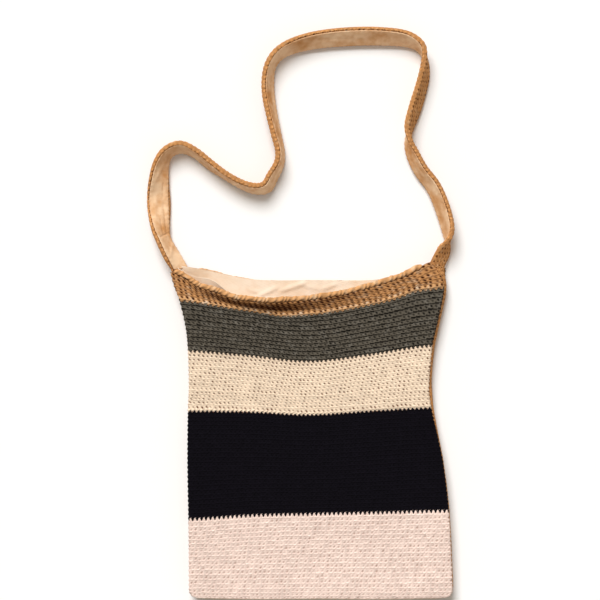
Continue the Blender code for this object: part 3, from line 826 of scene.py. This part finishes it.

# Its yarn. Along its edges the strap has a line of holes, where the lining is whipped to it, darkened
# with painted shade: the rows are counted from 0 to 5 over the right side and on to 10 back over
# the wrong side.
EDGE_HOLES = (9.70, 5.30, 0.45, 4.55)
strap_yarn, tree, stitches = cloth_material("strap_yarn")
calc = partial(math_node, tree)
worked = add_node(tree, "Group", {
    "Stitches": stitches, "Lean": 0.5, "Breadth": 1.5, "Evenness": 0.2, "Valley": 0.25}, node_tree=crochet)
along, down, _ = add_node(tree, "SeparateXYZ", {0: stitches}).outputs
within = calc("FRACT", along)
chances = add_node(tree, "TexWhiteNoise", {"W": calc("FLOOR", along)}, noise_dimensions="1D")
hole_shade = calc("MULTIPLY_ADD", chances.outputs["Value"], 0.95, 0.05)
centre = calc("MULTIPLY_ADD", chances.outputs["Value"], 0.3, 0.35)
pit = calc("MULTIPLY", worked.outputs["Pit"], 1.2)
for hole_row in EDGE_HOLES:
    hole = bell(tree, (within, centre, 0.18), (down, hole_row, 0.16))
    pit = calc("MAXIMUM", pit, calc("MULTIPLY", hole, hole_shade))
finish_yarn(tree, {
    "Stitches": stitches,
    "Colour": dye(217, 156, 98), "Painted pit shade": dye(100, 48, 14), "Fleck colour": dye(236, 204, 164),
    "Fleck": 0.25, "Lump": worked.outputs["Lump"], "Tone": worked.outputs["Tone"], "Pit": pit})

band.data.materials.append(strap_yarn)
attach(band, "root")
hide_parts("band")


# Rims of the mouth: a last round of tan stitches along the front and the back edge, pulled tight
# into a twisted rope. The front one ends at the right in a small knot, where the yarn is fastened off.

# Sides of a rope's mesh and its steps to a stitch. In stitches from its end: where its knot sits,
# how far the knot reaches, and where its ends begin to come round.
RIM_SIDES = 18
RIM_STEPS = 10
KNOT_PLACE = 0.9
KNOT_REACH = 0.7
END_ROUNDING = 1.6


def rope_rim(name, points_of, radius, seat, first, last, stitches, lift, knot):
    """A two-lobed rope along a panel's mouth edge, a half turn for each stitch, with closed ends.

    Its turns, its thickness and its line are a little uneven. Its grooves get painted shade, most
    where they face the panel, and so does the seam between the two. Its lobes' crowns get a painted
    highlight.
    """
    steps = stitches * RIM_STEPS
    share = np.linspace(0, 1, steps + 1)
    line = points_of(first + (last - first) * share, np.array((0.0,)))[0]
    turns = stitches * (share + 0.06 * np.sin(math.pi * share))
    turns += 0.30 * np.sin(1.3 * turns) + 0.14 * np.sin(3.1 * turns + 1.0)
    thick = radius * (1 + 0.07 * np.sin(1.7 * turns) + 0.06 * np.sin(3.9 * turns + 0.6))
    to_end = (1 - share) * stitches
    thick += (knot - radius) * hill((to_end - KNOT_PLACE) / KNOT_REACH)
    thick *= roundness(np.minimum(share, 1 - share) * stitches + 0.02, END_ROUNDING)
    line = line - side_of(line) * seat
    line[:, 2] += lift
    along = np.gradient(line, axis=0)
    along /= np.linalg.norm(along, axis=1, keepdims=True)
    side = side_of(line)
    up = np.cross(side, along)
    line += side * (0.35 * np.sin(0.9 * turns + 2.0))[:, None]
    angle = np.arange(RIM_SIDES) / RIM_SIDES * math.tau
    lobes = np.abs(np.cos(angle[None] - math.pi * turns[:, None]))
    reach = thick[:, None] * (0.84 + 0.18 * lobes)
    shade_toward_panel = 0.15 + 0.85 * np.clip(0.3 + np.cos(angle) * 1.2, 0, 1)[None]
    seam_shade = 0.75 * np.clip(3 * np.cos(angle) - 2, 0, 1)[None]
    points = line[:, None] + reach[..., None] * (side[:, None] * np.cos(angle)[None, :, None]
                                                 + up[:, None] * np.sin(angle)[None, :, None])
    loops = grid_loops(steps, RIM_SIDES)
    loops.append(tuple((0, k) for k in reversed(range(RIM_SIDES))))
    loops.append(tuple((steps, k) for k in range(RIM_SIDES)))
    faces = [[s * RIM_SIDES + k % RIM_SIDES for s, k in loop] for loop in loops]
    places = [(s / RIM_STEPS, k / RIM_SIDES * 2) for loop in loops for s, k in loop]
    return lie_in_mesh(name, points.reshape(-1, 3), faces, places, {
        "groove": np.maximum(np.clip(0.95 - 2.1 * lobes, 0, 1) * shade_toward_panel, seam_shade).ravel(),
        "crown": np.clip(lobes * 1.6 - 0.6, 0, 1).ravel(),
    })


# The rim's yarn: the groove attribute puts painted shade in its grooves and along its seam with the panel,
# and the crown attribute a painted highlight on its lobes.
rim_yarn, tree, stitches = cloth_material("rim_yarn")
groove = add_node(tree, "Attribute", attribute_name="groove").outputs["Fac"]
finish_yarn(tree, {
    "Stitches": stitches,
    "Colour": dye(206, 154, 104), "Painted pit shade": dye(70, 34, 14), "Fleck colour": dye(230, 204, 172),
    "Fleck": 0.4, "Lump": add_node(tree, "Attribute", attribute_name="crown").outputs["Fac"],
    "Tone": noise(tree, stitches, 0.9, 2.0),
    "Pit": math_node(tree, "MULTIPLY", groove, 0.9)})

# Columns: name, edge that it runs along, radius, distance from the edge, first and last place
# across, stitches, lift, radius of its knot, node that it stands for.
for name, points_of, radius, seat, first, last, stitches, lift, knot, node in (
    ("front_rim_rope", front_points, 2.9, 2.3, 0.012, 0.972, 47, 0.8, 3.3, "front_rim"),
    ("back_rim_rope", back_points, 1.8, 2.4, 0.04, 0.96, 44, 0.1, 1.8, "back_rim"),
):
    rim = rope_rim(name, points_of, radius, seat, first, last, stitches, lift, knot)
    rim.data.materials.append(rim_yarn)
    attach(rim, "root")
    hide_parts(node)


# Lining of the bag: a pouch of fine unbleached cotton, hemmed and sewn in just below the mouth.
# Its back layer shows in the open mouth, with soft creases, and a narrow strip of its front layer
# shows behind the front rim.

# Thickness of the cotton, its insets from the panels' sides and corners, left and right, how much
# further its back layer reaches, that layer's height, and the gap between its front and the panel.
LINING = 0.8
LINING_INSET = 5.6
BOTTOM_CORNER_INSET = 3.6
FRONT_CORNER_INSETS = (10.0, 2.0)
BACK_CORNER_INSETS = (1.5, 11.0)
BACK_LINING_RISE = 1.3
BACK_LEVEL = 4.8
POUCH_GAP = 1.8

# Rows in which the insets at the mouth and at the bottom die out, and the back layer's extra reach.
MOUTH_ROWS = 4.0
BOTTOM_ROWS = 3.0
RISE_ROWS = 2.0

# Steps of the mesh across a layer, its rows, which are finer at the mouth, and the places on the
# turn from one layer to the other at a side, which bulges out by TURN_BULGE at the most.
LINING_STEPS = 150
TURN_PLACES = (0.15, 0.5, 0.85)
TURN_BULGE = 1.6
LINING_ROWS = np.concatenate((np.linspace(0.4, 9.0, 46), np.linspace(10.0, 66.4, 34)))

# Where the mouth of the lining is drawn out of line: over the back rim, up to the strap at the
# left corner, and in a narrow hem that shows past the front rim. Columns: layers, x and y of the
# middle, reach along and across, rows that it dies out in, and the shift in x, y and z, in mm.
MOUTH_PULLS = (
    (("back",), 15.0, 35.0, 150.0, 40.0, 1.6, 0.0, 4.0, 0.0),
    (("back",), -112.0, 44.0, 10.0, 14.0, 2.6, -15.0, 2.0, 8.5),
    (("front",), -122.0, 40.0, 15.0, 16.0, 2.6, -9.0, 9.0, 3.5),
    (("front",), -94.0, 30.0, 24.0, 30.0, 2.2, 0.0, 13.0, 1.5),
)

# Creases of the back layer. Columns: x and y of its two ends, half width and height, in mm.
CREASES = (
    (-16.5, 23.3, 2.9, 29.7, 2.0, 2.0),
    (-39.8, 18.5, -27.1, 24.4, 2.2, 1.5),
    (25.7, 24.9, 35.4, 28.1, 1.8, 1.4),
    (-51.0, 22.6, -46.0, 21.0, 1.5, 1.0),
    (8.0, 26.8, 17.5, 24.8, 1.8, 1.0),
    (-96.0, 31.5, -90.0, 26.5, 1.6, 0.9),
    (-70.0, 16.0, -30.0, 12.0, 2.6, 0.8),
    (40.0, 21.0, 75.0, 30.0, 2.8, 0.8),
)


def crease_height(creases, x, y):
    """Height of all the creases of a table at places x and y."""
    height = 0
    for x0, y0, x1, y1, reach, rise in creases:
        length = math.hypot(x1 - x0, y1 - y0)
        along = ((x - x0) * (x1 - x0) + (y - y0) * (y1 - y0)) / length
        aside = ((y - y0) * (x1 - x0) - (x - x0) * (y1 - y0)) / length
        past = np.maximum(np.maximum(-along, along - length), 0)
        height = height + rise * hill(aside / reach, past / (2 * reach))
    return height


def lining_layer(points_of, row, corners, steps):
    """One layer of the pouch along a panel, drawn in from its sides and more at the corners."""
    mouth = hill(row / MOUTH_ROWS)
    bottom = BOTTOM_CORNER_INSET * hill((LAST_ROW - row) / BOTTOM_ROWS)
    left, right = ((LINING_INSET + corner * mouth + bottom) / PANEL_WIDTH for corner in corners)
    share = np.arange(steps + 1) / steps
    layers = [points_of(a + (1 - a - b) * share, np.array((r,)))[0] for a, b, r in zip(left, right, row)]
    return np.stack(layers)


def pull_mouth(layer, name, row):
    """Draw a layer's mouth out of line by the pulls that are meant for it."""
    x, y = layer[..., 0].copy(), layer[..., 1].copy()
    for names, px, py, reach, reach_up, fade, *shift in MOUTH_PULLS:
        if name in names:
            near = hill((x - px) / reach, (y - py) / reach_up, ((row - row[0]) / fade)[:, None])
            layer += near[..., None] * np.array(shift)
    return layer


def fold_over(first, last, side):
    """Points between the two layers at a side of the pouch, so that it turns round there."""
    rise = (last - first)[..., 2:3]
    bulge = np.array((side, 0, 0)) * np.minimum(np.abs(rise) / 2, TURN_BULGE)
    turned = [first + (last - first) * share + bulge * math.sin(math.pi * share) for share in TURN_PLACES]
    return np.stack(turned, axis=1)


def thicken(cloth):
    """Give a lining its thickness, half to each side."""
    modifier = cloth.modifiers.new("thickness", "SOLIDIFY")
    modifier.thickness = LINING * MM
    modifier.offset = 0


back_rows = LINING_ROWS - BACK_LINING_RISE * hill(LINING_ROWS / RISE_ROWS)
below = lining_layer(back_points, back_rows, BACK_CORNER_INSETS, LINING_STEPS)
below[..., 2] = BACK_LEVEL
below = pull_mouth(below, "back", LINING_ROWS)
below[..., 2] += crease_height(CREASES, below[..., 0], below[..., 1])
above = lining_layer(front_points, LINING_ROWS, FRONT_CORNER_INSETS, LINING_STEPS)[:, ::-1]
above[..., 2] -= CROCHET / 2 + POUCH_GAP + LINING / 2
above = pull_mouth(above, "front", LINING_ROWS)
pouch = np.concatenate(
    (below, fold_over(below[:, -1], above[:, 0], 1), above, fold_over(above[:, -1], below[:, 0], -1)), axis=1)

# The tube of the pouch, then its bottom: cells between the two layers, and one at each side.
count = pouch.shape[1]
end = len(pouch) - 1
loops = grid_loops(end, count)
turn = count - len(TURN_PLACES) - 1
for k in range(LINING_STEPS):
    loops.append(((end, k), (end, k + 1), (end, turn - k - 1), (end, turn - k)))
for corner in (LINING_STEPS, turn):
    loops.append(tuple((end, corner + k) for k in range(len(TURN_PLACES) + 2)))
faces = [[s * count + k % count for s, k in reversed(loop)] for loop in loops]
places = [(k / 4, s / 2) for loop in loops for s, k in reversed(loop)]
lining = lie_in_mesh("cotton_bag_lining", pouch.reshape(-1, 3), faces, places, {})
thicken(lining)


# Fine plain weave, for both linings: its threads, soft uneven toning and rubbed marks.
weave, given, result = group_of(
    "plain_weave",
    {"Vector": ("Place", "Threads"), "Color": ("Colour", "Worn colour"), "Float": ("Wear",)},
    {"Color": ("Colour",), "Float": ("Height",)},
)
calc = partial(math_node, weave)
clouds = noise(weave, given["Place"], 24.0, 4.0)
marks = noise(weave, given["Place"], 150.0, 3.0)
both = calc("MULTIPLY_ADD", marks, 0.35, clouds)
worn = add_node(weave, "MapRange", {"Value": both, "From Min": 0.82, "From Max": 0.52}).outputs[0]
mixed = add_node(weave, "Mix", {
    0: calc("MULTIPLY", worn, given["Wear"]),
    6: given["Colour"], 7: given["Worn colour"]}, data_type="RGBA")
warp, weft, _ = add_node(weave, "SeparateXYZ", {0: given["Threads"]}).outputs
threads = [calc("SINE", calc("MULTIPLY", count, math.tau)) for count in (warp, weft)]
weave_height = calc("MULTIPLY_ADD", calc("MULTIPLY", *threads), 0.12, marks)
weave.links.new(mixed.outputs[2], result["Colour"])
weave.links.new(weave_height, result["Height"])


def cotton_material(name, colour, worn_colour, wear):
    """Unbleached cotton, with its threads along the piece's own map."""
    material, tree, threads = cloth_material(name)
    look = {"Threads": threads, "Colour": colour, "Worn colour": worn_colour, "Wear": wear}
    finish_cloth(tree, weave, look, strength=0.4, distance=0.0006, specular=0.1)
    return material


lining.data.materials.append(
    cotton_material("unbleached_cotton", dye(240, 221, 200), dye(226, 196, 165), 0.85))
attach(lining, "root")
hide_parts("bag_lining")


# Lining of the strap: a strip of the same cotton, folded under at its edges and whip-stitched to
# the inner face, a little narrower than the crochet. It puckers between the stitches.
STRAP_LINING_WIDTH = 20.0
STRAP_LINING_STEP = 1.0
STRAP_LINING_STEPS = 22

# Its height off the crochet's inner face, less at its sewn edges, whose pull reaches in by a tenth
# of its width. Then the rise and length of the puckers there, and the height of its soft waves.
STRAP_LINING_RISE = 1.5
SEAM_DIP = 0.35
SEWN_REACH = 0.10
PUCKER = 0.25
PUCKER_LENGTH = 5.2
SOFT_WAVES = 0.35

# Places between the end of the left side strip, at 0, and the strap's first point, at 1, where the
# lining starts.
LINING_START = (0.1, 0.25, 0.4, 0.55, 0.7, 0.85)

# Creases of the strap's lining. Columns: distance along in mm and place across from 0 to 1 at each
# end, half width and height in mm.
STRAP_CREASES = (
    (83.0, 0.74, 96.0, 0.72, 1.2, -0.9),
    (44.0, 0.78, 73.0, 0.76, 1.5, -1.0),
    (45.0, 0.50, 54.0, 0.50, 1.6, -0.8),
    (38.5, 0.05, 41.0, 0.97, 0.9, -0.9),
    (18.0, 0.30, 26.0, 0.80, 1.8, 0.6),
    (60.0, 0.20, 79.0, 0.35, 2.2, 0.6),
    (104.0, 0.30, 122.0, 0.60, 2.4, 0.6),
    (334.0, 0.40, 376.0, 0.60, 2.0, 0.5),
    (434.0, 0.35, 474.0, 0.55, 2.2, -0.5),
    (644.0, 0.55, 694.0, 0.45, 2.0, 0.5),
)

route = np.concatenate((gusset[-1:], strap, gusset[:1]))
places = np.concatenate((LINING_START, 1 + np.arange((len(strap) - 1) * FINE + 1) / FINE))
rows = even_steps(curve_through(route, places), STRAP_LINING_STEP, False)
margin = (STRAP_WIDTH - STRAP_LINING_WIDTH) / 2 / STRAP_WIDTH
share = np.arange(STRAP_LINING_STEPS + 1)[None, :] / STRAP_LINING_STEPS
middle, lining_way, _ = ribbon(rows, margin + share[0] * (1 - 2 * margin), False)
along = np.arange(len(rows))[:, None] * STRAP_LINING_STEP
sewn = hill(np.minimum(share, 1 - share) / SEWN_REACH)
pucker = PUCKER * sewn * np.sin(math.tau * along / PUCKER_LENGTH)
waves = SOFT_WAVES * np.sin(along / 17.0 + 5 * share) * np.sin(along / 29.0 + 1.3)
creases = [(s0, p0 * STRAP_LINING_WIDTH, s1, p1 * STRAP_LINING_WIDTH, reach, rise)
           for s0, p0, s1, p1, reach, rise in STRAP_CREASES]
soft = (waves + crease_height(creases, along, share * STRAP_LINING_WIDTH)) * (1 - sewn)
raised = CROCHET / 2 + STRAP_LINING_RISE + pucker + soft - SEAM_DIP * sewn
strip = middle + lining_way * raised[..., None]
loops = grid_loops(len(strip) - 1, STRAP_LINING_STEPS)
faces = [[r * strip.shape[1] + c for r, c in loop] for loop in loops]
places = [(c / 2, r / 2) for loop in loops for r, c in loop]
strap_lining = lie_in_mesh("cotton_strap_lining", strip.reshape(-1, 3), faces, places, {})
thicken(strap_lining)
# Its worn colour is partly the cotton's own brown mottling and partly painted shade: it is made darker and
# browner than wear alone, to stand in for the strap's shade, though its blotches fall at random.
strap_lining.data.materials.append(
    cotton_material("strap_cotton", dye(247, 212, 174), dye(202, 142, 84), 0.95))
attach(strap_lining, "root")
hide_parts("strap_lining")
